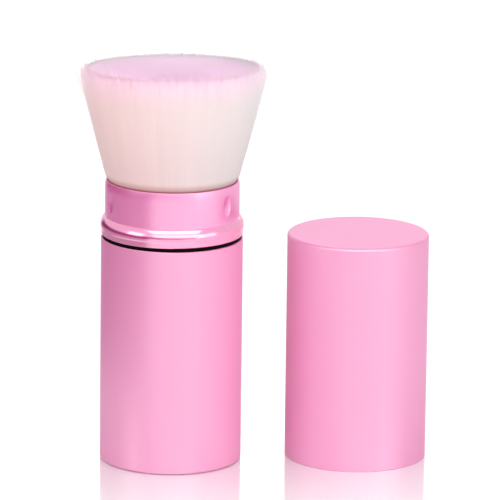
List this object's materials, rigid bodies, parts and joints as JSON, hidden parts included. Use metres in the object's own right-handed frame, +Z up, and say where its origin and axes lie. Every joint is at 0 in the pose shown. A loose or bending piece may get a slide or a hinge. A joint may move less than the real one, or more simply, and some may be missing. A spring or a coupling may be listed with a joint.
{
  "type": "retractable kabuki makeup brush",
  "caption": "Retractable kabuki brush: flared soft bristle head in a sliding collar with a finger bead, on a satin metal tube handle, with its push-on cap standing beside it.",
  "frame": {"origin": "on the brush axis, in the plane that the closed end of the handle tube and the mouth of the cap stand on", "axes": "+Z up along the brush axis toward the bristles; +X toward the cap, to the right in the picture; +Y away from the viewer"},
  "size_m": [0.0887, 0.0468, 0.1021],
  "materials": {
    "handle_metal": "satin pink anodised",
    "cap_metal": "satin pink anodised",
    "neck_metal": "semi-gloss pink anodised",
    "bead_metal": "polished pink anodised",
    "ferrule_metal": "plain drawn",
    "black_plastic": "moulded",
    "inner_plastic": "moulded",
    "sleeve_plastic": "moulded",
    "liner_plastic": "moulded",
    "set_glue": "set resin",
    "bristle_fibre": "soft fine fibres, cream with pink tips"
  },
  "bodies": {
    "handle": {"handle_tube": "handle_metal", "mouth_bush": "black_plastic", "brush_post": "inner_plastic", "ferrule": "ferrule_metal", "glue_plug": "set_glue", "bristles": "bristle_fibre"},
    "collar": {"neck_shell": "neck_metal", "grip_ring": "bead_metal", "slide_sleeve": "sleeve_plastic"},
    "cap": {"cap_shell": "cap_metal", "cap_liner": "liner_plastic"}
  },
  "joints": [
    {"name": "collar_slide", "type": "slide", "parent": "handle", "child": "collar", "axis": [0, 0, 1], "range_m": [0, 0.0308], "deforming": ["bristles"]},
    {"name": "cap_lift", "type": "slide", "parent": "handle", "child": "cap", "axis": [0, 0, 1], "range_m": [0, 0.12]}
  ]
}
